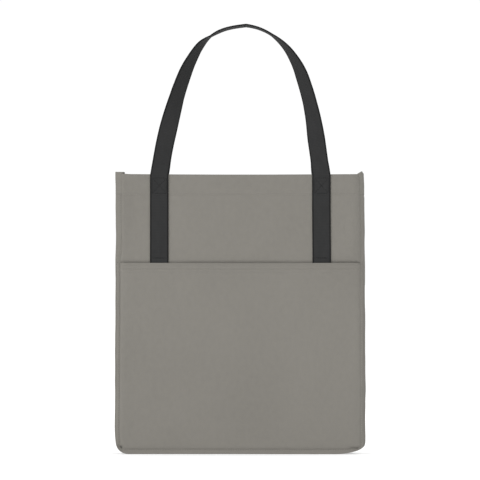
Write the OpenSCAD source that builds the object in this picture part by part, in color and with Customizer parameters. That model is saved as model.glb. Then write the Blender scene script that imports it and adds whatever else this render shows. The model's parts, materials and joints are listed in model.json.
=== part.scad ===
// Fabric shopper tote: two panels, a gusset round the sides and base, a full-width
// front pocket and two webbing handles. Millimetres, +Z up, front towards -Y,
// origin at the middle of the footprint on the surface that the bag stands on.

/* [Bag body] */
// Width between the two side seams
seam_width = 328; // [260:2:420]
// Height from the lower edges to the hemmed top edge
bag_height = 381; // [320:1:460]
// Depth of the gusset, between the two panels
depth = 51; // [40:1:90]
// Seam allowance that stands outside each seam
allowance = 6.5; // [4:0.5:9]
// Thickness of the non-woven fabric
fabric = 0.6; // [0.4:0.1:1]
// Corner radius of the panels' lower edges
corner_r = 19; // [15:1:28]
// Corner radius of the seam itself
seam_r = 9; // [6:1:12]

/* [Hems] */
// Depth of the top hem's inner layer
hem_layer = 30; // [20:1:40]
// Distance of the top hem's stitching from the top edge
hem_stitch = 27; // [14:1:27]
// How far the gusset's ends stand above the panels
gusset_rise = 2.5; // [0:0.5:4]

/* [Pocket] */
// Distance of the pocket's mouth from the top edge
pocket_drop = 119.5; // [90:0.5:160]
// Depth of the pocket's hem
pocket_hem = 10.5; // [10:0.5:20]
// Distance of the pocket hem's stitching from the mouth
pocket_stitch = 8.5; // [5:0.5:10]
// Room between the pocket and the front panel
pocket_room = 5.4; // [4.8:0.2:8]
// Width of the slope from the seams to the pocket's flat face
pocket_slope = 14; // [10:1:20]

/* [Handles] */
// Width of the webbing
strap_w = 25; // [20:1:32]
// Thickness of the webbing
strap_t = 1.8; // [1:0.1:2.2]
// Distance between the middles of a handle's two legs
strap_spread = 220; // [180:2:240]
// Height of the loop above the top edge, to the middle of the webbing
loop_rise = 203.5; // [180:0.5:260]
// How far a leg runs on below the pocket's mouth
strap_tuck = 8; // [0:1:14]
// Outward lean of the loops, in degrees
loop_lean = 4; // [3:0.5:8]

/* [Stitching] */
// Width of a line of thread
thread_w = 0.8; // [0.5:0.1:1]
// Height of a line of thread above the cloth
thread_h = 0.35; // [0.2:0.05:0.4]
// Distance of the seam's stitching outside the gusset wall
seam_stitch = 1.2; // [0.8:0.1:2]

/* [Hidden] */

grey = [0.53, 0.52, 0.49];
grey_thread = [0.45, 0.44, 0.41];
charcoal = [0.22, 0.22, 0.22];
black_thread = [0.13, 0.13, 0.13];

$fn = 64;
eps = 0.01;
play = 0.2;              // air between layers that must not share volume
seam_x = seam_width / 2; // the gusset wall's outer face
half_depth = depth / 2;  // the panels' inner faces
panel_face = half_depth + fabric;          // the panels' outer faces
pocket_flange_face = panel_face + fabric;  // face of the pocket's sewn edge
mouth_z = bag_height - pocket_drop;
leg_gap = 0.3;           // air between a leg and the loop that hinges on it
leg_top = bag_height - leg_gap;
leg_bottom = mouth_z - strap_tuck;
leg_face = panel_face + strap_t;
hinge_z = bag_height - leg_gap / 2;

// ---- outlines of the bag, drawn with x across and y up ----

// The bag's outline grown outwards from the seam by `grow`, with its lower
// corners of radius r and its top edge at height `top`.
module bag_outline(grow, r, top) {
    x = seam_x + grow;
    z = allowance - grow;
    union() {
        translate([-x, z + r]) square([2 * x, top - z - r]);
        translate([-x + r, z]) square([2 * (x - r), r + eps]);
        for (s = [-1, 1]) translate([s * (x - r), z + r]) circle(r);
    }
}

module cut_edge_outline(top) { bag_outline(allowance, corner_r, top); }
module wall_outer_outline(top) { bag_outline(0, seam_r, top); }
module wall_inner_outline(top) { bag_outline(-fabric, seam_r - fabric, top); }

// Stands an outline up in the XZ plane, filling from y to y + t.
module upright(y, t) {
    translate([0, y + t, 0]) rotate([90, 0, 0]) linear_extrude(t) children();
}

// A copy for the back of the bag.
module at_back() { mirror([0, 1, 0]) children(); }

// ---- cloth ----

// One large panel with its top hem turned down inside.
module panel() {
    hem_x = seam_x - fabric - play;
    color(grey) {
        upright(-panel_face, fabric) cut_edge_outline(bag_height);
        translate([-hem_x, -half_depth - eps, bag_height - hem_layer])
            cube([2 * hem_x, fabric + eps, hem_layer]);
    }
}

// The whole gusset strip: a wall between the panels, with an allowance turned
// outwards along both of its edges.
module gusset_strip() {
    top = bag_height + gusset_rise;
    upright(-half_depth, depth) difference() {
        wall_outer_outline(top);
        wall_inner_outline(top + 1);
    }
    for (y = [-half_depth, half_depth - fabric])
        upright(y, fabric) difference() {
            cut_edge_outline(top);
            wall_inner_outline(top + 1);
        }
}

// Keeps the part of the strip to the left of the base's straight run.
module left_part() {
    reach = 2 * seam_width;
    intersection() {
        children();
        translate([-seam_x + seam_r - reach, -depth, -1])
            cube([reach, 2 * depth, bag_height + 10]);
    }
}

module side_gusset() {
    hem_y = half_depth - fabric - play;
    color(grey) {
        left_part() gusset_strip();
        translate([-seam_x + fabric - eps, -hem_y, bag_height + gusset_rise - hem_layer])
            cube([fabric + eps, 2 * hem_y, hem_layer]);
    }
}

module bottom_gusset() {
    run = seam_x - seam_r;
    color(grey) intersection() {
        gusset_strip();
        translate([-run, -depth, -1]) cube([2 * run, 2 * depth, bag_height]);
    }
}

// A block that slopes in from the seams to a flat face `out` in front of the panel.
// Its lower corners follow the seam's own round.
module pocket_block(inset, out, top) {
    y0 = -panel_face;
    y1 = -panel_face - out;
    base = seam_x - inset;
    foot = allowance + inset;
    intersection() {
        translate([0, 0, -1]) linear_extrude(top + 1) polygon([
            [-base, y0], [-base + pocket_slope, y1],
            [base - pocket_slope, y1], [base, y0]
        ]);
        rotate([90, 0, 90]) linear_extrude(2 * seam_width, center = true) polygon([
            [y0, foot], [y1, foot + pocket_slope], [y1, top], [y0, top]
        ]);
        upright(y1 - 1, out + 2) bag_outline(-inset, seam_r - inset, top);
    }
}

// The pocket: sewn flat round three sides, standing off the panel in between.
module pocket_panel() {
    flat_x = seam_x - pocket_slope - play;
    color(grey) {
        difference() {
            union() {
                upright(-pocket_flange_face, fabric) cut_edge_outline(mouth_z);
                pocket_block(0, pocket_room + fabric, mouth_z);
            }
            pocket_block(fabric, pocket_room, mouth_z + 1);
        }
        translate([-flat_x, -panel_face - pocket_room, mouth_z - pocket_hem])
            cube([2 * flat_x, fabric, pocket_hem]);
    }
}

// ---- webbing ----

// A handle's sewn leg, on the left for side = -1 and on the right for side = 1.
module leg(side) {
    color(charcoal)
        translate([side * strap_spread / 2 - strap_w / 2, -leg_face, leg_bottom])
            cube([strap_w, strap_t, leg_top - leg_bottom]);
}

// The loop's centre line: half of it is one cubic curve from a leg's top, t = 0,
// to the crown, t = 1, written as [distance from the middle, height].
curve = [
    [strap_spread / 2, 0],
    [strap_spread / 2 - 15, loop_rise * 0.355],
    [strap_spread / 2 - 20, loop_rise],
    [0, loop_rise]
];
function along(t) =
    pow(1 - t, 3) * curve[0] + 3 * pow(1 - t, 2) * t * curve[1]
    + 3 * (1 - t) * t * t * curve[2] + pow(t, 3) * curve[3];
function slope(t) =
    pow(1 - t, 2) * (curve[1] - curve[0]) + 2 * (1 - t) * t * (curve[2] - curve[1])
    + t * t * (curve[3] - curve[2]);
function clamped(v) = max(0, min(1, v));
function smooth(v) = let (c = clamped(v)) c * c * (3 - 2 * c);

// The webbing lies flat at its legs and is nearly edge-on by the crown.
twist_from = 0.14;
twist_to = 0.88;
twist_angle = 85;
function twist(t) =
    let (v = (t - twist_from) / (twist_to - twist_from))
    twist_angle * (0.7 * clamped(v) + 0.3 * smooth(v));
// Lean of the webbing's width in the loop's plane, none where it leaves the leg.
level_until = 0.12;
function lean(t) =
    let (d = slope(t)) atan2(-d[0], d[1]) * smooth(t / level_until);

// Four corners of the webbing at u, from -1 at the left leg to 1 at the right. The
// legs' outer edges come to the front at the crown.
function ring(u) =
    let (
        side = u < 0 ? -1 : 1,
        t = 1 - abs(u),
        p = along(t),
        a = lean(t),
        f = twist(t),
        middle = [side * p[0], 0, p[1]],
        inward = [-side * cos(a), 0, -sin(a)],
        across = cos(f) * inward - sin(f) * [0, -1, 0],
        outward = cos(f) * [0, -1, 0] + sin(f) * inward
    )
    [for (c = [[1, 1], [-1, 1], [-1, -1], [1, -1]])
        middle + c[0] * strap_w / 2 * across + c[1] * strap_t / 2 * outward];

half_rings = 22;
ring_count = 2 * half_rings + 1;
loop_points = [for (i = [0:ring_count - 1]) each ring(i / half_rings - 1)];
// Each side of the strap between two rings is split into two triangles.
loop_faces = concat(
    [[0, 1, 2], [0, 2, 3]],
    [for (i = [0:ring_count - 2], j = [0:3])
        let (a = 4 * i + j, b = 4 * i + (j + 1) % 4)
        each [[a, a + 4, b + 4], [a, b + 4, b]]],
    [let (e = 4 * (ring_count - 1)) each [[e + 2, e + 1, e], [e + 3, e + 2, e]]]
);

module loop() {
    color(charcoal)
        translate([0, -leg_face, hinge_z])
            rotate([loop_lean, 0, 0])
                translate([0, strap_t / 2, leg_gap / 2])
                    polyhedron(loop_points, loop_faces, convexity = 8);
}

// ---- thread ----

// A straight line of thread on the front of the bag, from one [x, z] to another.
module thread_run(from, to, face) {
    d = to - from;
    translate([from[0], -face, from[1]])
        rotate([0, -atan2(d[1], d[0]), 0])
            translate([0, -thread_h, -thread_w / 2])
                cube([norm(d), thread_h, thread_w]);
}

module hem_thread() {
    z = bag_height - hem_stitch;
    end = seam_x - 1;
    leg_in = strap_spread / 2 - strap_w / 2 - play;
    leg_out = strap_spread / 2 + strap_w / 2 + play;
    color(grey_thread)
        for (run = [[-end, -leg_out], [-leg_in, leg_in], [leg_out, end]])
            thread_run([run[0], z], [run[1], z], panel_face);
}

module gusset_hem_thread() {
    end = half_depth - 2;
    color(grey_thread)
        translate([-seam_x - thread_h, -end, bag_height + gusset_rise - hem_stitch])
            cube([thread_h, 2 * end, thread_w]);
}

module pocket_hem_thread() {
    end = seam_x - pocket_slope - 1;
    z = mouth_z - pocket_stitch;
    color(grey_thread)
        thread_run([-end, z], [end, z], panel_face + pocket_room + fabric);
}

// The line of stitching just outside the gusset wall, up to the height `top`.
module seam_line(top) {
    difference() {
        bag_outline(seam_stitch + thread_w / 2, seam_r + seam_stitch, top);
        bag_outline(seam_stitch - thread_w / 2, seam_r + seam_stitch - thread_w, top + 1);
    }
}

seam_thread_top = bag_height - 3;

module front_seam_thread() {
    color(grey_thread) {
        upright(-pocket_flange_face - thread_h, thread_h) seam_line(mouth_z - 1);
        upright(-panel_face - thread_h, thread_h) difference() {
            seam_line(seam_thread_top);
            translate([-seam_width, -1]) square([2 * seam_width, mouth_z + 2]);
        }
    }
}

module back_seam_thread() {
    color(grey_thread)
        upright(panel_face, thread_h) seam_line(seam_thread_top);
}

// A leg's stitching: a crossed box on the hem and a bar above the lower end.
box_half = 9.5;
box_low = bag_height - 25.8;
box_high = bag_height - 4.4;
bar_z = mouth_z + 6;

module leg_thread(side) {
    x = side * strap_spread / 2;
    l = x - box_half;
    r = x + box_half;
    color(black_thread) {
        for (z = [box_low, box_high, bar_z]) thread_run([l, z], [r, z], leg_face);
        for (v = [l, r]) thread_run([v, box_low], [v, box_high], leg_face);
        thread_run([l, box_low], [r, box_high], leg_face);
        thread_run([l, box_high], [r, box_low], leg_face);
    }
}

panel();  // front_panel
at_back() panel();  // back_panel
side_gusset();  // left_gusset
mirror([1, 0, 0]) side_gusset();  // right_gusset
bottom_gusset();
pocket_panel();
leg(-1);  // front_handle_left_leg
leg(1);  // front_handle_right_leg
loop();  // front_handle_loop
at_back() leg(-1);  // back_handle_left_leg
at_back() leg(1);  // back_handle_right_leg
at_back() loop();  // back_handle_loop
hem_thread();  // front_hem_thread
at_back() hem_thread();  // back_hem_thread
gusset_hem_thread();  // left_gusset_hem_thread
mirror([1, 0, 0]) gusset_hem_thread();  // right_gusset_hem_thread
pocket_hem_thread();
front_seam_thread();
back_seam_thread();
leg_thread(-1);  // front_left_handle_thread
leg_thread(1);  // front_right_handle_thread
at_back() leg_thread(-1);  // back_left_handle_thread
at_back() leg_thread(1);  // back_right_handle_thread
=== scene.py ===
"""Looks of the fabric shopper tote, in the CAD's frame: +Z up, front towards -Y.

Every piece of cloth is laid out flat in millimetres, as it is cut and sewn, and then goes
through the same warp, so that layers, hems, the handles' legs and stitches stay on each
other as the cloth sags.
"""

import json
import math

import bpy
import numpy as np
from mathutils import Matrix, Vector


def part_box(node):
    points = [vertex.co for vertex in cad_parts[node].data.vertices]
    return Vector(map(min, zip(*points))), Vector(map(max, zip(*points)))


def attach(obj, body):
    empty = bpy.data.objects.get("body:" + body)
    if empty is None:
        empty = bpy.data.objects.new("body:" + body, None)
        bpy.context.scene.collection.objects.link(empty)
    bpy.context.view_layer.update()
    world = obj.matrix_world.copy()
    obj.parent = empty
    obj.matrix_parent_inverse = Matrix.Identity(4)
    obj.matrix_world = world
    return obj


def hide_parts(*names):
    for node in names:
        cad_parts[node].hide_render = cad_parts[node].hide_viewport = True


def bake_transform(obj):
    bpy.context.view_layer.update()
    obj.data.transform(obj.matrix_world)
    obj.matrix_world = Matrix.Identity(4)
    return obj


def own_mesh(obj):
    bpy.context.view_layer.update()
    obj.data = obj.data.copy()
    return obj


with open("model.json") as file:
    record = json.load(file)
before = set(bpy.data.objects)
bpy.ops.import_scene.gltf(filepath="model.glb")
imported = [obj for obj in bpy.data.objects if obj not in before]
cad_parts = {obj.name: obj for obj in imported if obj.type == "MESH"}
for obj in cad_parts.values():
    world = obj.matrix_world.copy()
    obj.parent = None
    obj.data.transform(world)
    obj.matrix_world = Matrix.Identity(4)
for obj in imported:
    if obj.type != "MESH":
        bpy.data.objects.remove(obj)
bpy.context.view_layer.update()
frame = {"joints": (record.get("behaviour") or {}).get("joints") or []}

# ---- sizes in millimetres, from the frame ----

MM = 0.001


def span(node):
    """A CAD node's lowest and highest corners, in mm."""
    low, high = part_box(node)
    return np.array(low) / MM, np.array(high) / MM


def joint(name):
    return next(j for j in frame["joints"] if j["name"] == name)


def hinge(name):
    """Where a joint's axis is, in mm."""
    return np.array(joint(name)["pos_m"]) / MM


def mid_height(node):
    low, high = span(node)
    return (low[2] + high[2]) / 2


panel_low, panel_high = span("front_panel")
gusset_high = span("left_gusset")[1]
leg_low, leg_high = span("front_handle_right_leg")
EDGE_X = panel_high[0]  # the cut edges
HEIGHT = panel_high[2]
HALF_DEPTH = gusset_high[1]
CLOTH = -panel_low[1] - HALF_DEPTH
ALLOWANCE = 6.5  # of cloth outside the seams
SEAM_X = EDGE_X - ALLOWANCE
SEAM_R = 5.0  # of the seam's two lower corners, which pinch in tighter than they are cut
HEM = 30.0  # turned down at the top
HEM_STITCH = mid_height("front_hem_thread")
HEM_GAP = 0.7  # between the middles of a hem's two layers
MOUTH = span("pocket_panel")[1][2]
POCKET_HEM = 10.5  # turned down at the pocket's mouth
POCKET_STITCH = mid_height("pocket_hem_thread")
STRAP_W = leg_high[0] - leg_low[0]
STRAP_T = leg_high[1] - leg_low[1]
LEG_X = (leg_low[0] + leg_high[0]) / 2
LEG_BOTTOM = leg_low[2]
_, FRONT_HINGE_Y, HINGE_Z = hinge("front_handle_swing")
HINGE_Y = -FRONT_HINGE_Y
LOOP_RISE = 203.5  # from the bag's top edge to the loop's crown
LOOP_LEAN = math.radians(4.0)
GUSSET_Y = HALF_DEPTH - CLOTH / 2  # the middle of the gusset's cloth in each seam
GUSSET_TOP = {-1: HEIGHT + 2.4, 1: HEIGHT - 0.3}  # its left end stands above the panels
GUSSET_STITCH = 27.0  # from the gusset's top down to its hem's stitches


def clamp01(v):
    return np.clip(v, 0.0, 1.0)


def ease(v):
    v = clamp01(v)
    return v * v * (3 - 2 * v)


def bell(v):
    return np.exp(-np.square(v))


def unit(v):
    return v / np.maximum(np.linalg.norm(v, axis=-1, keepdims=True), 1e-9)


def points(x, y, z):
    return np.stack(np.broadcast_arrays(x, y, z), axis=-1).astype(float)


def waves(seed, short, long, count=16):
    """A smooth random height field of about unit size, with wavelengths in mm."""
    r = np.random.default_rng(seed)
    length = np.exp(r.uniform(np.log(short), np.log(long), count))
    angle = r.uniform(0, math.pi, count)
    phase = r.uniform(0, 2 * math.pi, count)
    share = (length / long) ** 0.8
    share /= math.sqrt(float(np.sum(share**2)) / 2)

    def height(a, b):
        total = 0.0
        for wl, t, p, s in zip(length, angle, phase, share):
            total = total + s * np.sin(
                2 * math.pi * (a * math.cos(t) + b * math.sin(t)) / wl + p
            )
        return total

    return height


# ---- the warp ----

FRONT, BACK = -1, 1

broad = {FRONT: waves(3, 110, 260), BACK: waves(14, 100, 260)}
soft = {FRONT: waves(5, 45, 110), BACK: waves(16, 45, 110)}
fine = {FRONT: waves(8, 16, 40), BACK: waves(19, 16, 40)}
edge_wave = waves(21, 18, 90)
flange_wave = {FRONT: waves(23, 30, 130), BACK: waves(29, 30, 130)}
gusset_wave = waves(31, 30, 120)
pocket_wave = waves(37, 50, 160)
strap_wave = {FRONT: waves(41, 25, 90), BACK: waves(47, 25, 90)}


def inside(x, z):
    """Distance inside the seam, negative on the seam allowance."""
    qx = np.abs(x) - (SEAM_X - SEAM_R)
    qz = (ALLOWANCE + SEAM_R) - z
    out = np.hypot(np.maximum(qx, 0), np.maximum(qz, 0))
    return SEAM_R - out - np.minimum(np.maximum(qx, qz), 0)


def in_plane(x, z):
    """How the sewn bag's outline leaves its flat pattern, across and up."""
    left = 0.1 + 1.0 * ease((z - 90) / 130) - 0.1 * ease((z - 345) / 36)
    right = -0.3 - 0.7 * ease((z - 150) / 110) - 1.0 * ease((z - 300) / 80)
    edge = ease((np.abs(x) - 128) / 36)
    dx = np.where(x < 0, left, right) * edge
    # above the pocket the left seam draws in, and the right leg stands a little askew
    dx = dx + 1.9 * bell((x + SEAM_X) / 4.2) * ease((z - MOUTH) / 14)
    dx = dx + (0.5 + 0.7 * ease((345 - z) / 90)) * bell((x - LEG_X) / 24) * ease((z - 200) / 40)
    dx = dx + 0.2 * edge_wave(z, 40.0 * np.sign(x)) * edge
    sag = 0.2 + 0.25 * (1 - bell((x - 88) / 70))
    dz = sag * np.exp(-np.maximum(z, 0) / 50)
    # the lower right corner is drawn up off the floor
    dz = dz + 0.5 * ease((x - 124) / 36) * np.exp(-np.maximum(z, 0) / 22)
    dz = dz - (0.5 + 0.8 * (1 - np.square(x / EDGE_X))) * ease((z - 320) / 60)
    # the top corners stand up, the right one in a point
    top = ease((z - 345) / 36)
    dz = dz + top * 3.8 * ease((x - 160.5) / 8) * (1 - ease((x - 168.3) / 2))
    return dx, dz + 0.5 * top * ease((-x - 150) / 10)


def flare(x, z, face):
    """How far the seam allowance leans outwards from the panel's plane."""
    d = -np.minimum(inside(x, z), 0) / ALLOWANCE
    lean = 0.45 * flange_wave[face](x, z)
    base = 1 - ease((z - 4) / 16)  # along the base, clear of the corners
    if face == FRONT:
        # the left side lies back a little, the right side turns back hard
        lean = lean - 1.1 * ease(-(x + 150) / 10) * (1 - base)
        lean = lean - (4.3 + 0.9 * ease((z - 250) / 30)) * ease((x - 150) / 12) * (1 - base)
        lean = lean + 2.0 * base
        lean = lean + 1.6 * bell(np.hypot(x + 162, z - 8) / 14)
    else:
        lean = lean + 0.4
    return lean * d**1.3


def puff(x, z, face):
    """How far a panel stands out of its flat plane, away from the bag's inside."""
    d = np.maximum(inside(x, z), 0)
    upper = ease((z - 250) / 30)
    out = (1.5 - 0.4 * upper) * (1 - np.exp(-d / 2.6))
    # a broad, slack fullness, with the top edge drawn in between the handles' legs
    across = np.cos(clamp01(np.abs(x) / SEAM_X) * math.pi / 2)
    out = out + 2.2 * across**0.8 * bell((z - 130) / 110) * (1 - np.exp(-d / 16.0))
    out = out - 1.8 * bell(x / 75) * ease((z - 300) / 80)
    if face == FRONT:
        # the upper right side rounds back to its seam
        roll = 6.0 * ease((x - 90) / 40) * upper
        out = out + roll * (1 - np.exp(-d / 7.5)) - roll * ease((z - 372) / 12) * 0.4
    body = ease(d / 22)
    out = out + body * (
        0.9 * broad[face](x, z) + 0.32 * soft[face](x, z) + 0.05 * fine[face](x, z)
    )
    # stitching pulls the cloth in along the hem, and puckers it
    row = z - HEM_STITCH
    pucker = 0.11 * edge_wave(x * 2.2, 300.0) * np.exp(-np.abs(row) / 7)
    out = out - 0.1 * bell(row / 1.1) + pucker
    right = ease((x - 140) / 20) * ease((z - 20) / 20)
    base = 1 - ease((z - 10) / 10)
    groove = 0.75 + upper * np.where(x < 0, -0.3, 0.8) - 0.5 * right * (1 - upper) - 0.2 * base
    shift = 0.5 + 0.5 * base + 0.6 * right * upper
    out = out - groove * bell((inside(x, z) + shift) / 1.1)
    # the lower corners pinch in, most of all at the front
    pinch = 3.8 * bell(np.hypot(x + SEAM_X - 1.8, z - ALLOWANCE - 2.0) / 2.7)
    pinch = pinch + 1.0 * bell(np.hypot((x + SEAM_X - 1.8) / 1.8, (z - ALLOWANCE - 6.5) / 5))
    pinch = pinch + 3.2 * bell(np.hypot((x - SEAM_X + 6.5) / 7.5, (z - ALLOWANCE - 0.8) / 2.2))
    out = out - pinch * (1.0 if face == FRONT else 0.5)
    if face == FRONT:
        # the slack panel dips in behind the pocket's mouth
        out = out - 1.3 * bell((z - MOUTH + 1.8) / 2.8)
    return out + flare(x, z, face)


def panel(x, z, face, layer=0.0):
    """The middle of a panel's cloth; layer is the distance outside that."""
    dx, dz = in_plane(x, z)
    y = face * (HALF_DEPTH + CLOTH / 2 + layer + puff(x, z, face))
    return points(x + dx, y, z + dz)


def pocket_room(x, z):
    """The pocket's stand-off from the front panel."""
    d = np.maximum(inside(x, z), 0)
    up = clamp01(z / MOUTH)
    full = 0.25 + 1.8 * up**2.2 + 0.4 * bell(x / 60) * up**3
    full = full + 0.3 * pocket_wave(x, z) * up * ease(d / 30)
    hem = ease((z - (MOUTH - POCKET_HEM - 4)) / 4)
    room = np.maximum(full, 0.1) * (1 - np.exp(-d / 2.5)) + HEM_GAP * hem
    row = z - POCKET_STITCH
    ripple = 0.1 * edge_wave(x * 2.4, 700.0) * np.exp(-np.abs(row) / 6)
    return room - 0.45 * bell(row / 1.2) + ripple * ease(d / 10)


def pocket(x, z, layer=0.0):
    """The middle of the pocket's cloth."""
    # its mouth is a little lower in the middle
    up = clamp01(z / MOUTH)
    drop = (0.9 + 0.4 * bell((x - 20) / 110)) * up**6 + 1.05 * up**40
    p = panel(x, z, FRONT, CLOTH + layer + pocket_room(x, z))
    p[..., 2] -= drop
    return p


# ---- the panels' cut ----


def cut_left(z):
    """Half the cut width at a height, on the left, where the corner is rounded."""
    r = 17.0
    t = clamp01((r - z) / r)
    return EDGE_X - r + r * np.sqrt(1 - t * t) - ease((26 - z) / 14)


def cut_right(z):
    """The same on the right, where the corner is cut away further."""
    rx, rz = 37.0, 14.5
    t = clamp01((rz - z) / rz)
    return EDGE_X - rx + rx * np.sqrt(1 - t * t)


def spread(x, z):
    """Draws the outer columns in, so that the rows end on the rounded cut edge."""
    keep = 118.0
    wide = np.where(x < 0, cut_left(z), cut_right(z))
    out = keep + (np.abs(x) - keep) * (wide - keep) / (EDGE_X - keep)
    return np.where(np.abs(x) > keep, np.sign(x) * out, x)


def steps(*stops):
    """Places from stop to stop, given as start, then (stop, spacing) pairs."""
    start, out = stops[0], [stops[0]]
    for stop, spacing in stops[1:]:
        n = max(1, round(abs(stop - start) / spacing))
        out += [start + (stop - start) * (k + 1) / n for k in range(n)]
        start = stop
    return np.array(out)


COLUMNS = steps(-EDGE_X, (-157, 0.6), (-146, 1.6), (146, 4.0), (157, 1.6), (EDGE_X, 0.6))
PANEL_ROWS = steps(
    0.0, (13, 0.6), (24, 1.3), (254, 4.6), (268, 1.3), (345, 4.6), (350, 2.0), (358, 0.6),
    (366, 2.0), (HEIGHT, 1.25)
)
POCKET_ROWS = steps(0.0, (13, 0.6), (24, 1.3), (240, 4.5), (248, 1.5), (257, 0.6), (MOUTH, 0.9))


# ---- meshes ----


def build(name, verts, faces, uv, material, flat_from=None):
    """A mesh from vertices in mm; uv is one pair for each vertex, in metres.

    Faces from number flat_from on are cut edges, which aren't shaded smooth.
    """
    verts, faces = np.asarray(verts, float), np.asarray(faces, np.int32)
    me = bpy.data.meshes.new(name)
    n, k = faces.shape
    me.vertices.add(len(verts))
    me.vertices.foreach_set("co", (verts * MM).astype(np.float32).ravel())
    me.loops.add(n * k)
    me.loops.foreach_set("vertex_index", faces.ravel())
    me.polygons.add(n)
    me.polygons.foreach_set("loop_start", np.arange(n, dtype=np.int32) * k)
    me.polygons.foreach_set("loop_total", np.full(n, k, np.int32))
    soft_faces = np.ones(n, bool)
    if flat_from is not None:
        soft_faces[flat_from:] = False
    me.polygons.foreach_set("use_smooth", soft_faces)
    me.update(calc_edges=True)
    layer = me.uv_layers.new(name="Cut")
    layer.data.foreach_set("uv", np.asarray(uv, np.float32)[faces.ravel()].ravel())
    me.materials.append(material)
    me.validate()
    ob = bpy.data.objects.new(name, me)
    bpy.context.scene.collection.objects.link(ob)
    return ob


def grid_normals(g):
    return unit(np.cross(np.gradient(g, axis=1), np.gradient(g, axis=0)))


def with_hem(g, uv, depth_rows):
    """Turns the cloth beyond the last row over, back down the inside."""
    n = grid_normals(g)
    rise = unit(g[-1] - g[-2])
    r = HEM_GAP / 2
    turn = [
        g[-1] + rise * (r * math.sin(a)) - n[-1] * (r * (1 - math.cos(a)))
        for a in np.radians([40, 90, 140])
    ]
    inner = [g[-1 - k] - n[-1 - k] * HEM_GAP for k in range(depth_rows)]
    # the pattern runs on round the turn, which is about 1 mm long, and down the inside
    top = uv[-1]
    uv_turn = [top + [0, t * MM] for t in (0.0, 0.4, 0.8)]
    uv_in = [
        np.stack([uv[-1 - k][:, 0], 2 * top[:, 1] - uv[-1 - k][:, 1] + MM], -1)
        for k in range(depth_rows)
    ]
    return np.array([*g, *turn, *inner]), np.array([*uv, *uv_turn, *uv_in])


def thick_sheet(name, g, uv, material):
    """A closed sheet of cloth about the grid g of middle points, rows by columns."""
    rows, cols = g.shape[:2]
    n = grid_normals(g) * (CLOTH / 2)
    verts = np.concatenate([(g + n).reshape(-1, 3), (g - n).reshape(-1, 3)])
    ids = np.arange(rows * cols).reshape(rows, cols)
    a, b = ids[:-1, :-1].ravel(), ids[:-1, 1:].ravel()
    c, d = ids[1:, 1:].ravel(), ids[1:, :-1].ravel()
    m = rows * cols
    outer = np.stack([a, b, c, d], -1)
    inner = np.stack([d, c, b, a], -1) + m
    ring = np.concatenate([ids[0, :], ids[1:, -1], ids[-1, -2::-1], ids[-2:0:-1, 0]])
    after = np.roll(ring, -1)
    rim = np.stack([ring + m, after + m, after, ring], -1)
    faces = np.concatenate([outer, inner, rim])
    both = np.concatenate([uv.reshape(-1, 2)] * 2)
    return build(name, verts, faces, both, material, len(outer) + len(inner))


def panel_sheet(name, face, material):
    """A front or back panel, whose cut is seen from its own outer side."""
    x, z = np.meshgrid(COLUMNS * -face, PANEL_ROWS)
    x = spread(x, z)
    if face == FRONT:
        # on the right it is trimmed back, and the gusset's edge shows beyond it
        x = x - (2.1 + 0.3 * edge_wave(9.0, z)) * clamp01((x - SEAM_X - 1.5) / 5)
    g = panel(x, z, face)
    uv = np.stack([x, z], -1) * MM
    g, uv = with_hem(g, uv, int(np.sum(PANEL_ROWS >= HEIGHT - HEM)))
    return thick_sheet(name, g, uv, material)


def pocket_sheet(name, material):
    """The pocket's panel, from its hemmed mouth down to the base seam."""
    x, z = np.meshgrid(COLUMNS, POCKET_ROWS)
    x = spread(x, z)
    # cut a little short of the panel at its allowances
    short = 0.2 - 0.1 * bell(x / 90) + 0.1 * edge_wave(x, 5.0)
    z = z + short * clamp01(1 - z / ALLOWANCE)
    beyond = clamp01((np.abs(x) - SEAM_X) / ALLOWANCE)
    x = x - (np.sign(x) * 1.9 + (x > 0) * 1.0 + 0.3 * edge_wave(5.0, z)) * beyond
    g = pocket(x, z)
    uv = np.stack([x + 900, z + 37], -1) * MM
    g, uv = with_hem(g, uv, int(np.sum(POCKET_ROWS >= MOUTH - POCKET_HEM)))
    return thick_sheet(name, g, uv, material)


# ---- the gusset: one strip, down the left, along the base and up the right ----


def gusset_path():
    """Stations along the seam: place across, place up, and the way outwards."""
    r, low = SEAM_R, ALLOWANCE
    top_left, top_right = GUSSET_TOP[-1], GUSSET_TOP[1]
    path = []
    for z in steps(top_left, (top_left - 3, 1.0), (360, 3.0), (353, 1.0), (low + r, 4.0)):
        path.append((-SEAM_X, z, -1.0, 0.0))
    for a in np.radians(np.arange(9, 90, 9)):
        c, s = math.cos(a), math.sin(a)
        path.append((-SEAM_X + r - r * c, low + r - r * s, -c, -s))
    for x in steps(-SEAM_X + r, (SEAM_X - r, 4.0)):
        path.append((x, low, 0.0, -1.0))
    for a in np.radians(np.arange(81, 0, -9)):
        c, s = math.cos(a), math.sin(a)
        path.append((SEAM_X - r + r * c, low + r - r * s, c, -s))
    for z in steps(low + r, (353, 4.0), (360, 1.0), (top_right - 3, 3.0), (top_right, 1.0)):
        path.append((SEAM_X, z, 1.0, 0.0))
    return np.array(path)


def allowance_at(path):
    """The seam allowance's width at each station, cut to the panels' rounded edge."""
    x, z, nx, nz = path.T
    low, high = np.zeros(len(x)), np.full(len(x), ALLOWANCE)
    for _ in range(20):
        mid = (low + high) / 2
        px, pz = x + nx * mid, z + nz * mid
        wide = np.where(px < 0, cut_left(pz), cut_right(pz))
        ok = (np.abs(px) <= wide) & (pz >= 0)
        low, high = np.where(ok, mid, low), np.where(ok, high, mid)
    return low


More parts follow.
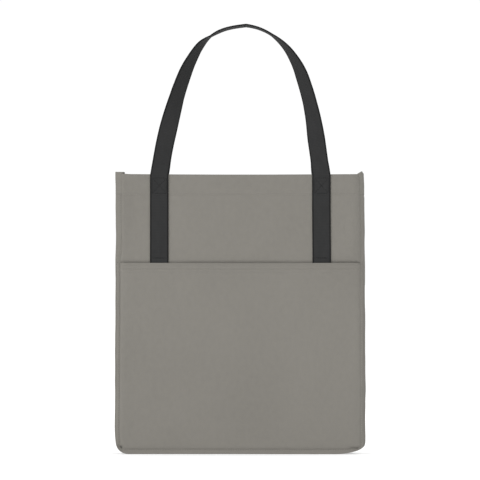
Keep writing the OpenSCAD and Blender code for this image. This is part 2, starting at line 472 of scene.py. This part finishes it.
def crease(x, z, y):
    """How far the gusset's wall folds in, towards the bag's middle."""
    left = (x < 0) & (z > ALLOWANCE + SEAM_R)
    tall = z > ALLOWANCE + 1
    vee = 1 - np.sqrt(np.square(clamp01(np.abs(y) / HALF_DEPTH)) + 0.004)
    top = ease((z - 335) / 45)
    depth = np.where(left, 8.5 - 5.2 * top, 6.5 - 4.3 * top) * ease((z - 30) / 240) + 0.6
    # the left end turns in along the front panel before it folds back
    hug = 0.94 * (1 - np.exp(-(HALF_DEPTH - np.abs(y)) / 1.5))
    share = top * left * (y < 0)
    sides = depth * (vee * (1 - share) + hug * share)
    base = 1.5 * (np.abs(x) < SEAM_X - SEAM_R) * vee
    return sides * tall + base


def ripple(along, y):
    """The gusset wall's small waves, from its place along the seam and across."""
    return 0.35 * gusset_wave(along, y * 2) * clamp01(1 - np.square(y / HALF_DEPTH))


def gusset_grid(path):
    """The strip's grid of middle points, stations by places across, and its flat places."""
    wide = allowance_at(path)[:, None]
    x0, z0, nx, nz = (path[:, k : k + 1] for k in range(4))
    # the doubled end on the right is trimmed
    wide = wide - 0.8 * (nx > 0) * ease((z0 - HEIGHT + HEM) / 3)
    # each allowance is four columns wide, and the wall between them sits inside the seams
    share = np.array([1.0, 0.66, 0.33, 0.1])
    edge, gap = len(share), 0.3
    side = GUSSET_Y - gap
    walls = steps(-side, (-18, 1.6), (-2, 3.2), (2, 1.0), (18, 3.2), (side, 1.6))
    off = share * wide
    inner = np.full((len(path), len(walls)), -CLOTH / 2)
    out = np.concatenate([off, inner, off[:, ::-1]], axis=1)
    y = np.concatenate([np.full(edge, -GUSSET_Y), walls, np.full(edge, GUSSET_Y)])
    x, z = x0 + nx * out, z0 + nz * out
    wall = np.abs(y) < GUSSET_Y
    fold = crease(x0, z0, y) * wall
    dx, dz = in_plane(x - nx * fold, z)
    shift = -(fold + ripple(x0 + z0, y) * wall)
    lean = np.where(y < 0, -flare(x, z, FRONT), flare(x, z, BACK)) * ~wall
    above_floor = np.maximum(z + dz + nz * shift, 0.3)
    g = points(x + dx + nx * shift, y + lean, above_floor)
    half = GUSSET_Y + gap
    cut = np.concatenate([-half - out[0, :edge], walls, half + out[0, -edge:]])
    return g, cut


def gusset_sheet(name, material):
    """The gusset's strip, with a hem at each end."""
    path = gusset_path()
    g, cut = gusset_grid(path)
    mid = g[:, g.shape[1] // 2]
    along = np.concatenate([[0], np.cumsum(np.linalg.norm(np.diff(mid, axis=0), axis=1))])
    uv = np.stack(np.meshgrid(cut, along), -1) * MM + [0.4, 0.7]
    hem = int(np.sum(path[: len(path) // 2, 1] >= GUSSET_TOP[-1] - HEM))
    g, uv = with_hem(g, uv, hem)
    g, uv = with_hem(g[::-1, ::-1], uv[::-1, ::-1], hem)
    return thick_sheet(name, g, uv, material)


# ---- webbing ----

# Places across and up that each half of the loop's middle line goes through, from a leg's
# top to the crown, and the angles that the webbing has turned by, at shares of that length
CROWN = (8.0, LOOP_RISE - 1.5)
KNOTS = {
    -1: [(-101.5, 45), (-92.5, 82), (-81.5, 119), (-67, 154), (-49.5, 180), (-28, 194)],
    1: [(104, 44), (98.5, 80), (89.5, 116.5), (76.5, 151), (59.5, 175.5), (29.5, 196.5)],
}
TURN_AT = {
    -1: [0, 0.07, 0.24, 0.42, 0.56, 0.74, 0.80, 0.84],
    1: [0, 0.07, 0.20, 0.30, 0.40, 0.56, 0.70, 0.85, 1.0],
}
TURNS = {-1: [0, 12, 10, 36, 45, 68, 84, 80], 1: [0, 20, 18, 32, 41, 47, 65, 83, 80]}
# The webbing's cross-section, across and through, with soft edges: from an edge towards the
# middle, then the whole front, then the whole outline
HALF_W = STRAP_W / 2
QUARTER = [(0.35, 0.8), (1.1, 0.9), (4.5, 0.92), (8.5, 0.9)]
QUARTER = [(-HALF_W, 0.35)] + [(inset - HALF_W, t) for inset, t in QUARTER]
FACE = QUARTER + [(0.0, 0.88)] + [(-w, t) for w, t in QUARTER[::-1]]
SECTION = np.array(FACE + [(w, -t) for w, t in FACE[::-1]])
STRAP_SEAT = CLOTH / 2 + 0.06  # the webbing's inner side, out from the cloth's middle
LEG_SEAT = STRAP_SEAT + STRAP_T / 2


def through(knots, last_slope, count=400):
    """A smooth curve through the knots."""
    k = np.array(knots, float)
    t = np.concatenate([[0], np.cumsum(np.linalg.norm(np.diff(k, axis=0), axis=1))])
    m = np.gradient(k, t, axis=0)
    m[-1] = last_slope
    s = np.linspace(0, t[-1], count)
    i = np.clip(np.searchsorted(t, s, side="right") - 1, 0, len(t) - 2)
    h = (t[i + 1] - t[i])[:, None]
    u = (s - t[i])[:, None] / h
    start = (1 + 2 * u) * (1 - u) ** 2 * k[i] + u * (1 - u) ** 2 * h * m[i]
    return start + u**2 * (3 - 2 * u) * k[i + 1] - u**2 * (1 - u) * h * m[i + 1]


def half_loop(side, grow, lift):
    """Places, tangent angles and shares of the length, from a leg's top to the crown."""
    p = through([(side * LEG_X, 0.0), *KNOTS[side], CROWN], (-side, 0.12))
    p = p * [grow, 1 + lift / LOOP_RISE]
    run = np.concatenate([[0], np.cumsum(np.linalg.norm(np.diff(p, axis=0), axis=1))])
    at = steps(0.0, (30, 1.5), (run[-1], 4.2))
    place = np.stack([np.interp(at, run, p[:, k]) for k in (0, 1)], -1)
    d = np.gradient(p, axis=0)
    angle = np.interp(at, run, np.arctan2(-side * d[:, 0], d[:, 1]))
    # both halves reach the crown level
    share = at / run[-1]
    angle = angle + (math.pi / 2 - angle[-1]) * ease((share - 0.8) / 0.2)
    return place, angle, share, at


def bow(h, side):
    """How far the webbing stands out from the loop's leaning plane, by its height."""
    out = 9.5 * ease(h / 58) * (1 - ease((h - 50) / 150))
    crease_at, depth = (10.0, 0.5) if side < 0 else (7.0, 0.6)
    out = out - depth * bell((h - crease_at) / 4)
    folds = [(25, 7, -0.5), (42, 8, 0.3)] if side < 0 else [(43, 6, -0.5), (58, 6, -0.4)]
    for place, wide, size in folds:
        out = out + size * bell((h - place) / wide)
    return out


def leg_rings(face, side):
    """The webbing's outline up a sewn leg, lying on the panel."""
    w, t = SECTION.T
    z = steps(LEG_BOTTOM, (350, 4.0), (377, 2.2), (HINGE_Z, 1.3))[:, None]
    x = side * (LEG_X - w)[None, :]
    p = panel(x, z, face, LEG_SEAT)
    outwards = unit(panel(x, z, face, LEG_SEAT + 0.5) - p)
    return p + outwards * t[None, :, None]


def leaned(loop, face):
    """The loop's plane, leant outwards about the bag's top edge."""
    out, up = loop[..., 1] * face - STRAP_T / 2, loop[..., 2]
    c, s = math.cos(LOOP_LEAN), math.sin(LOOP_LEAN)
    y = face * (out * c + up * s + HINGE_Y)
    return points(loop[..., 0], y, -out * s + up * c + HINGE_Z)


def loop_rings(face, side, grow, lift):
    """The webbing's outline from a leg's top to the crown, and the length run at each."""
    w, t = SECTION.T
    out_dir = np.array([0.0, face, 0.0])
    place, angle, share, run = half_loop(side, grow, lift)
    twist = np.radians(np.interp(share, TURN_AT[side], TURNS[side]))[:, None]
    tilt = angle * ease(share / 0.10)
    inward = points(-side * np.cos(tilt), 0.0, -np.sin(tilt))
    across = np.cos(twist) * inward - np.sin(twist) * out_dir
    facing = np.cos(twist) * out_dir + np.sin(twist) * inward
    h = place[:, 1]
    wave = 0.15 * strap_wave[face](run, 60.0 * side)
    middle = points(place[:, 0], 0.0, h) + out_dir * (bow(h, side) + wave)[:, None]
    wide = across[:, None] * w[None, :, None]
    thick = facing[:, None] * t[None, :, None]
    return leaned(middle[:, None] + wide + thick, face), run


def half_handle(face, side, grow, lift):
    """A leg and half of the loop, which is drawn in to meet the leg's top."""
    leg = leg_rings(face, side)
    loop, run = loop_rings(face, side, grow, lift)
    gap = (leg[-1] - loop[0])[None] * bell(run[:, None] / 26)[..., None]
    return np.concatenate([leg, (loop + gap)[1:]])


def end_caps(ids):
    """Faces that close the webbing's two cut ends."""
    count, around = ids.shape
    caps = []
    for row, turn in ((0, 1), (count - 1, -1)):
        ring = ids[row]
        for j in range(around // 2 - 1):
            quad = [ring[j], ring[around - 1 - j], ring[around - 2 - j], ring[j + 1]]
            caps.append(quad[::turn])
    return np.array(caps)


def handle(name, face, material, grow=1.0, lift=0.0):
    """One length of webbing: a leg, the loop and the other leg."""
    left, right = (half_handle(face, side, grow, lift) for side in (-1, 1))
    right[-1] = left[-1] = (left[-1] + right[-1]) / 2
    rings = np.concatenate([left, right[-2::-1]])
    count, around = rings.shape[:2]
    middle = rings[:, around // 4]
    along = np.concatenate([[0], np.cumsum(np.linalg.norm(np.diff(middle, axis=0), axis=1))])
    ids = np.arange(count * around).reshape(count, around)
    nxt = np.roll(ids, -1, axis=1)
    quads = np.stack([ids[:-1], nxt[:-1], nxt[1:], ids[1:]], -1).reshape(-1, 4)
    faces = np.concatenate([quads, end_caps(ids)])
    if face == BACK:
        faces = faces[:, ::-1]
    uv = np.stack(np.broadcast_arrays(SECTION[None, :, 0], along[:, None]), -1) * MM
    return build(name, rings.reshape(-1, 3), faces, uv.reshape(-1, 2), material, len(quads))


# ---- stitches ----

PITCH, BOX_PITCH = 3.3, 2.9  # of the seams' and hems' stitches, and the crossed boxes'
THREAD_R = 0.27
THREAD_RISE, THREAD_DIP = 0.16, 0.42  # off the cloth along a stitch, and into it at its ends
THREAD_STRAY = 0.07  # how far a stitch lies out of its row, as a standard deviation
SEAM_OFF = 1.2  # from the seam out to its row of stitches


def stitch_row(path, pitch):
    """(start, end) pairs of flat places along a polyline of flat places."""
    path = np.asarray(path, float)
    run = np.concatenate([[0], np.cumsum(np.linalg.norm(np.diff(path, axis=0), axis=1))])
    start, share = 0.3, 0.74
    n = max(1, int((run[-1] - start) / pitch))
    s0 = start + np.arange(n) * pitch
    s1 = s0 + pitch * share
    return [np.stack([np.interp(s, run, path[:, k]) for k in (0, 1)], -1) for s in (s0, s1)]


# Along one stitch: shares of its length, its rise off the cloth, and its girth
STITCH_AT = np.array([0.0, 0.14, 0.5, 0.86, 1.0])
SHOULDER = THREAD_RISE * 0.75
STITCH_RISE = np.array([-THREAD_DIP, SHOULDER, THREAD_RISE, SHOULDER, -THREAD_DIP])
STITCH_GIRTH = np.array([0.75, 1.0, 1.04, 1.0, 0.75]) * THREAD_R
STITCH_TURN = np.radians(np.arange(0, 360, 60))  # the six corners of the thread's section


def stitch_rings(surface, layer, flat):
    """Rings of thread round each stitch, from its flat places."""
    x, z = flat[..., 0], flat[..., 1]
    p = surface(x, z, layer)
    up = unit(surface(x, z, layer + 0.5) - p)
    p = p + up * STITCH_RISE[None, :, None]
    ahead = unit(np.gradient(p, axis=1))
    across = unit(np.cross(ahead, up))
    up = unit(np.cross(across, ahead))
    c, s = np.cos(STITCH_TURN), np.sin(STITCH_TURN)
    girth = STITCH_GIRTH[None, :, None, None]
    wide = across[:, :, None] * (c * 1.15)[None, None, :, None] * girth
    return p[:, :, None] + wide + up[:, :, None] * s[None, None, :, None] * girth


def stitch_faces(ids):
    """Each stitch's sides and its two ends, from its vertices' numbers."""
    nxt = np.roll(ids, -1, axis=2)
    side = np.stack([ids[:, :-1], ids[:, 1:], nxt[:, 1:], nxt[:, :-1]], -1)
    faces = [side.reshape(-1, 4)]
    for row, order in ((0, 1), (ids.shape[1] - 1, -1)):
        e = ids[:, row]
        faces.append(np.stack([e[:, 0], e[:, 1], e[:, 2], e[:, 3]], -1)[:, ::order])
        faces.append(np.stack([e[:, 0], e[:, 3], e[:, 4], e[:, 5]], -1)[:, ::order])
    return faces


def stitch_uv(shape):
    """The thread's ply runs round and along each stitch, and no two stitches start alike."""
    n, _, k = shape
    u = np.broadcast_to(np.arange(k)[None, None, :] * 0.3, shape)
    v = np.broadcast_to((STITCH_AT * 3)[None, :, None], shape)
    v = v + (np.arange(n) * 7.3 % 50)[:, None, None]
    return np.stack([u, v], -1).reshape(-1, 2) * MM


def stitches(name, rows, material):
    """Rows of thread: each is (surface, base layer, starts, ends)."""
    verts, faces, uvs = [], [], []
    count = 0
    rnd = np.random.default_rng(len(name))
    for surface, layer, a, b in rows:
        flat = a[:, None] + (b - a)[:, None] * STITCH_AT[None, :, None]
        flat = flat + rnd.normal(0, THREAD_STRAY, (len(a), 1, 2))
        rings = stitch_rings(surface, layer, flat)
        size = math.prod(rings.shape[:3])
        faces += stitch_faces(count + np.arange(size).reshape(rings.shape[:3]))
        verts.append(rings.reshape(-1, 3))
        uvs.append(stitch_uv(rings.shape[:3]))
        count += size
    verts, faces, uvs = (np.concatenate(part) for part in (verts, faces, uvs))
    return build(name, verts, faces, uvs, material)


def seam_path(top):
    """The seam's stitching from one side's top, round the base, to the other's."""
    r, low, off = SEAM_R, ALLOWANCE, SEAM_OFF
    path = [(-SEAM_X - off, top), (-SEAM_X - off, low + r)]
    for a in np.radians(np.arange(10, 90, 10)):
        c, s = math.cos(a), math.sin(a)
        path.append((-SEAM_X + r - (r + off) * c, low + r - (r + off) * s))
    path += [(-SEAM_X + r, low - off), (SEAM_X - r, low - off)]
    for a in np.radians(np.arange(80, 0, -10)):
        c, s = math.cos(a), math.sin(a)
        path.append((SEAM_X - r + (r + off) * c, low + r - (r + off) * s))
    return path + [(SEAM_X + off, low + r), (SEAM_X + off, top)]


def box_rows(side):
    """A leg's crossed box and the bar above its lower end, as polylines."""
    x, half = side * LEG_X, 9.5
    low, high, bar = HEIGHT - 25.8, HEIGHT - 4.4, MOUTH + 6
    left, right = x - half, x + half
    box = [(left, low), (left, high), (right, high), (right, low), (left, low)]
    cross = [[(left, low), (right, high)], [(left, high), (right, low)]]
    return [box, *cross, [(left, bar), (right, bar)], [(right, bar - 1.3), (left, bar - 1.3)]]


# ---- materials ----


class Shader:
    """A node tree with a Principled shader, and short calls to add to it."""

    def __init__(self, name, roughness, specular=0.25, sheen=0.0):
        self.mat = bpy.data.materials.new(name)
        self.mat.use_nodes = True
        self.tree = self.mat.node_tree
        self.skin = self.tree.nodes["Principled BSDF"]
        self.skin.inputs["Roughness"].default_value = roughness
        self.skin.inputs["Specular IOR Level"].default_value = specular
        self.skin.inputs["Sheen Weight"].default_value = sheen
        self.skin.inputs["Sheen Roughness"].default_value = 0.6
        self.uv = self.add("ShaderNodeTexCoord").outputs["UV"]

    def add(self, kind, inputs=None, **settings):
        node = self.tree.nodes.new(kind)
        for key, value in settings.items():
            setattr(node, key, value)
        for key, value in (inputs or {}).items():
            self.put(node.inputs[key], value)
        return node

    def put(self, socket, value):
        if isinstance(value, bpy.types.NodeSocket):
            self.tree.links.new(value, socket)
        else:
            socket.default_value = value

    def math(self, operation, a, b=0.0):
        return self.add("ShaderNodeMath", {0: a, 1: b}, operation=operation).outputs[0]

    def scaled(self, scale, turn=0.0):
        """The cut's coordinates, turned and then scaled, as a vector."""
        turned = self.add("ShaderNodeMapping", {"Vector": self.uv, "Rotation": (0.0, 0.0, turn)})
        inputs = {"Vector": turned.outputs[0], "Scale": (*scale, 1.0)}
        return self.add("ShaderNodeMapping", inputs).outputs[0]

    def noise(self, vector, detail=2.0, roughness=0.5):
        inputs = {"Vector": vector, "Scale": 1.0, "Detail": detail, "Roughness": roughness}
        return self.add("ShaderNodeTexNoise", inputs, noise_dimensions="2D").outputs["Fac"]

    def fit(self, value, low, high, to_low, to_high):
        """The value, carried from one range to another."""
        inputs = {0: value, 1: low, 2: high, 3: to_low, 4: to_high}
        return self.add("ShaderNodeMapRange", inputs).outputs[0]

    def tint(self, colour, factor):
        """The colour, brightened or darkened by a factor from nodes."""
        inputs = {0: colour, "Scale": factor}
        return self.add("ShaderNodeVectorMath", inputs, operation="SCALE").outputs[0]

    def finish(self, colour, height, distance, strength, roughness=None):
        """Puts the colour, the relief and any varying roughness on the shader."""
        self.put(self.skin.inputs["Base Color"], colour)
        inputs = {"Height": height, "Distance": distance, "Strength": strength}
        bump = self.add("ShaderNodeBump", inputs)
        self.put(self.skin.inputs["Normal"], bump.outputs[0])
        if roughness is not None:
            self.put(self.skin.inputs["Roughness"], roughness)
        return self.mat


def cloth_material(name, colour):
    """Spunbond cloth: bonded points in a staggered grid over random fibres."""
    s = Shader(name, 0.88, specular=0.2, sheen=0.05)
    per_metre = 1 / (1.25 * MM)
    grid = s.scaled((per_metre, per_metre), math.radians(45))
    inputs = {"Vector": grid, "Scale": 1.0, "Randomness": 0.0}
    dots = s.add("ShaderNodeTexVoronoi", inputs, voronoi_dimensions="2D")
    dot = s.fit(dots.outputs["Distance"], 0.2, 0.36, 1.0, 0.0)
    along = s.noise(s.scaled((700, 4200), 0.35), 3.0, 0.6)
    over = s.noise(s.scaled((3900, 800), 0.2), 3.0, 0.6)
    fibre = s.math("MAXIMUM", along, over)
    cloud = s.noise(s.scaled((150, 110)), 4.0, 0.62)
    drift = s.noise(s.scaled((9, 7), 0.5), 2.0, 0.5)
    tone = s.fit(cloud, 0.25, 0.75, 0.97, 1.03)
    tone = s.math("ADD", tone, s.fit(fibre, 0.4, 0.75, -0.05, 0.05))
    tone = s.math("ADD", tone, s.fit(drift, 0.3, 0.7, -0.018, 0.018))
    tone = s.math("SUBTRACT", tone, s.math("MULTIPLY", dot, 0.07))
    height = s.math("SUBTRACT", s.math("MULTIPLY", fibre, 0.7), s.math("MULTIPLY", dot, 0.8))
    height = s.math("ADD", height, s.math("MULTIPLY", cloud, 0.9))
    rough = s.math("SUBTRACT", 0.9, s.math("MULTIPLY", dot, 0.22))
    return s.finish(s.tint(colour, tone), height, 0.16 * MM, 0.9, rough)


def webbing_material(name, colour):
    """Flat woven webbing: fine ribs across, crossed by its warp, with a rolled edge."""
    s = Shader(name, 0.62, specular=0.03)
    vector = s.scaled((1 / (1.56 * MM), 1 / (2.1 * MM)))
    parts = s.add("ShaderNodeSeparateXYZ", {0: vector})
    a, b = parts.outputs[0], parts.outputs[1]
    bow_a = s.math("ABSOLUTE", s.math("SINE", s.math("MULTIPLY", a, math.pi)))
    bow_b = s.math("ABSOLUTE", s.math("SINE", s.math("MULTIPLY", b, math.pi)))
    inputs = {"Vector": vector, "Color1": (1, 1, 1, 1), "Color2": (0, 0, 0, 1), "Scale": 1.0}
    parity = s.add("ShaderNodeTexChecker", inputs).outputs["Fac"]
    over = s.math("MULTIPLY", bow_a, s.fit(bow_b, 0.0, 1.0, 0.35, 1.0))
    under = s.math("MULTIPLY", bow_b, s.fit(bow_a, 0.0, 1.0, 0.55, 0.8))
    weave = s.add("ShaderNodeMix", {0: parity, 2: under, 3: over}).outputs[0]
    strands = s.noise(s.scaled((9000, 900)), 2.0, 0.6)
    patches = s.noise(s.scaled((120, 60)), 3.0, 0.6)
    # the tone follows the weave's height: darker in its hollows, which is painted shade
    tone = s.fit(weave, 0.0, 1.0, 0.84, 1.1)
    tone = s.math("MULTIPLY", tone, s.fit(strands, 0.3, 0.7, 0.9, 1.1))
    tone = s.math("MULTIPLY", tone, s.fit(patches, 0.3, 0.7, 0.95, 1.05))
    place = s.add("ShaderNodeSeparateXYZ", {0: s.uv}).outputs[0]
    # darker towards its edges: partly the webbing's denser selvage, partly painted shade where
    # the rolled edge turns from the light
    edge_from, edge_to = (HALF_W - 2.5) * MM, (HALF_W - 1.2) * MM
    edge = s.fit(s.math("ABSOLUTE", place), edge_from, edge_to, 1.0, 0.45)
    tone = s.math("MULTIPLY", tone, edge)
    height = s.math("ADD", weave, s.math("MULTIPLY", strands, 0.25))
    rough = s.fit(weave, 0.0, 1.0, 0.75, 0.55)
    return s.finish(s.tint(colour, tone), height, 0.14 * MM, 0.6, rough)


def thread_material(name, colour):
    """Two-ply sewing thread."""
    s = Shader(name, 0.6, specular=0.12, sheen=0.05)
    vector = s.scaled((1 / (0.9 * MM), 1 / (0.6 * MM)), 0.6)
    inputs = {"Vector": vector, "Scale": 0.5, "Distortion": 0.6}
    ply = s.add("ShaderNodeTexWave", inputs, bands_direction="DIAGONAL").outputs["Fac"]
    tone = s.fit(ply, 0.0, 1.0, 0.8, 1.1)
    return s.finish(s.tint(colour, tone), ply, 0.08 * MM, 0.7)


cloth = cloth_material("cloth", (0.1765, 0.1678, 0.1497))
webbing = webbing_material("webbing", (0.0275, 0.0277, 0.0279))
grey_thread = thread_material("grey_thread", (0.232, 0.221, 0.198))
dark_thread = thread_material("dark_thread", (0.013, 0.013, 0.0135))

# ---- the bag ----

front = panel_sheet("front_panel_cloth", FRONT, cloth)
back = panel_sheet("back_panel_cloth", BACK, cloth)
gusset = gusset_sheet("gusset_cloth", cloth)
pouch = pocket_sheet("pocket_cloth", cloth)
front_handle = handle("front_handle_webbing", FRONT, webbing)
# the back loop stands a little wider and higher than the front one
back_handle = handle("back_handle_webbing", BACK, webbing, grow=1.012, lift=3.4)

OUTER = CLOTH / 2  # from the middle of the cloth to its outer side
FACES = ((FRONT, "front", "bag"), (BACK, "back", "back"))  # and the body of each
HANDS = ((-1, "left"), (1, "right"))


def sewn(surface, path, pitch=PITCH, layer=OUTER):
    """A row of stitches on a surface, along a path on its flat pattern."""
    return (surface, layer, *stitch_row(path, pitch))


def on_panel(face):
    return lambda x, z, layer: panel(x, z, face, layer)


def on_strap(face):
    """The outer side of a handle's leg."""
    return lambda x, z, layer: panel(x, z, face, STRAP_SEAT + STRAP_T + layer)


def under_hem(face):
    """The inner side of a panel's hem."""
    return lambda x, z, layer: panel(x, z, face, -HEM_GAP - OUTER - layer)


def on_gusset(side):
    """The gusset's wall near its top, from its place across the depth and up."""

    def surface(y, z, layer):
        x0 = side * SEAM_X + 0 * y
        dx, dz = in_plane(x0, z)
        x = x0 + dx + side * (layer - CLOTH / 2 - crease(x0, z, y) - ripple(x0 + z, y))
        return points(x, y, z + dz)

    return surface


def hem_rows(face):
    """The hem's row outside, which stops at the handle's legs."""
    z, end, leg = HEM_STITCH, SEAM_X - 1.5, STRAP_W / 2 + 0.4
    spans = [(-end, -LEG_X - leg), (-LEG_X + leg, LEG_X - leg), (LEG_X + leg, end)]
    return [sewn(on_panel(face), [(a, z), (b, z)]) for a, b in spans]


def seam_rows(face):
    """The seam's row, which the pocket covers on the front up to its mouth."""
    if face == BACK:
        return [sewn(on_panel(BACK), seam_path(HEIGHT - 3))]
    rows = [sewn(pocket, seam_path(MOUTH - 1))]
    for side in (-1, 1):
        x = side * (SEAM_X + SEAM_OFF)
        rows.append(sewn(on_panel(FRONT), [(x, MOUTH + 1), (x, HEIGHT - 3)]))
    return rows


def leg_rows(face, side):
    """The crossed box and the bars on a handle's leg."""
    return [sewn(on_strap(face), line, BOX_PITCH, 0.0) for line in box_rows(side)]


def bobbin_row(face):
    """The hem's row inside, which runs on under the legs."""
    line = [(-SEAM_X + 3, HEM_STITCH), (SEAM_X - 3, HEM_STITCH)]
    return [sewn(under_hem(face), line, layer=0.0)]


def bobbin_boxes(face):
    """The two crossed boxes as they show inside, without their bars."""
    lines = [line for side in (-1, 1) for line in box_rows(side)[:3]]
    return [sewn(under_hem(face), line, BOX_PITCH, 0.0) for line in lines]


def sew(name, rows, material, body, node=None):
    """One piece of stitching, which moves with its cloth's body."""
    ob = stitches(name, rows, material)
    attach(ob, body)
    if node:
        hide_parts(node)
    return ob


def flatten(ob):
    """Gives the gusset, or what is sewn to it, a mesh of its own."""
    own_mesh(ob)


for face, word, body in FACES:
    sew(f"{word}_hem_stitches", hem_rows(face), grey_thread, body, f"{word}_hem_thread")
for face, word, body in FACES:
    sew(f"{word}_seam_stitches", seam_rows(face), grey_thread, body, f"{word}_seam_thread")
row = sewn(pocket, [(-SEAM_X + 2, POCKET_STITCH), (SEAM_X - 2, POCKET_STITCH)])
sew("pocket_hem_stitches", [row], grey_thread, "bag", "pocket_hem_thread")
for face, word, body in FACES:
    for side, hand in HANDS:
        part = f"{word}_{hand}_handle"
        sew(f"{part}_stitches", leg_rows(face, side), dark_thread, body, f"{part}_thread")
    sew(f"{word}_hem_inner_stitches", bobbin_row(face), grey_thread, body)
    sew(f"{word}_handle_inner_stitches", bobbin_boxes(face), dark_thread, body)
for side, hand in HANDS:
    z, half = GUSSET_TOP[side] - GUSSET_STITCH, 23.0
    row = sewn(on_gusset(side), [(-half, z), (half, z)])
    part = f"{hand}_gusset_hem"
    flatten(sew(f"{part}_stitches", [row], grey_thread, "bag", f"{part}_thread"))

for ob, body, nodes in (
    (front, "bag", ["front_panel"]),
    (back, "back", ["back_panel"]),
    (gusset, "bag", ["left_gusset", "bottom_gusset", "right_gusset"]),
    (pouch, "bag", ["pocket_panel"]),
):
    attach(ob, body)
    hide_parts(*nodes)
flatten(gusset)

for ob, (face, word, fixed) in zip((front_handle, back_handle), FACES):
    part = f"{word}_handle"
    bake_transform(ob)
    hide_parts(f"{part}_left_leg", f"{part}_right_leg", f"{part}_loop")

# ---- floor, light and camera ----


def stage_floor():
    """A matt white floor, which glows a little, so that shadows on it stay faint."""
    half, tone, glow = 30.0, 0.7, 0.4
    corners = [(-half, -half, 0), (half, -half, 0), (half, half, 0), (-half, half, 0)]
    me = bpy.data.meshes.new("floor")
    me.from_pydata(corners, [], [(0, 1, 2, 3)])
    ob = bpy.data.objects.new("floor", me)
    bpy.context.scene.collection.objects.link(ob)
    mat = bpy.data.materials.new("floor")
    mat.use_nodes = True
    skin = mat.node_tree.nodes["Principled BSDF"]
    skin.inputs["Base Color"].default_value = (tone, tone, tone, 1)
    skin.inputs["Roughness"].default_value = 0.9
    skin.inputs["Specular IOR Level"].default_value = 0.0
    skin.inputs["Emission Color"].default_value = (1, 1, 1, 1)
    skin.inputs["Emission Strength"].default_value = glow
    me.materials.append(mat)
    ob.location.z = -0.1 * MM


def area_light(name, place, aim, size, power):
    """A square light, aimed at a point, in metres and watts."""
    data = bpy.data.lights.new(name, "AREA")
    data.shape = "SQUARE"
    data.size = size
    data.energy = power
    ob = bpy.data.objects.new(name, data)
    bpy.context.scene.collection.objects.link(ob)
    ob.location = place
    ob.rotation_euler = (Vector(aim) - Vector(place)).to_track_quat("-Z", "Y").to_euler()


def studio():
    """A white room: a strong light from the left, a weak one in front, one behind."""
    world = bpy.data.worlds.new("studio")
    bpy.context.scene.world = world
    world.use_nodes = True
    sky = world.node_tree.nodes["Background"]
    sky.inputs["Color"].default_value = (1, 1, 1, 1)
    sky.inputs["Strength"].default_value = 1.02
    area_light("key", (-3.6, -3.3, 1.4), (0, 0, 0.25), 1.4, 79)
    area_light("fill", (0.5, -2.7, 0.3), (0, 0, 0.35), 0.9, 12.5)
    area_light("rear", (0.9, 2.6, 1.3), (0, 0, 0.25), 1.6, 18)


def camera():
    """Straight on, from far off, near the middle of the object's height."""
    away, width = 8.0, 0.6528  # metres from the front panel, and of the view there
    front_y, height = -(HALF_DEPTH + 1.0) * MM, 0.2913
    data = bpy.data.cameras.new("camera")
    data.sensor_width = 36.0
    data.lens = data.sensor_width * away / width
    data.clip_start, data.clip_end = 0.5, 60.0
    ob = bpy.data.objects.new("camera", data)
    bpy.context.scene.collection.objects.link(ob)
    ob.location = (-0.2 * MM, front_y - away, height)
    ob.rotation_euler = (math.pi / 2, 0, 0)
    bpy.context.scene.camera = ob


stage_floor()
studio()
camera()
bpy.context.scene.view_settings.view_transform = "Standard"
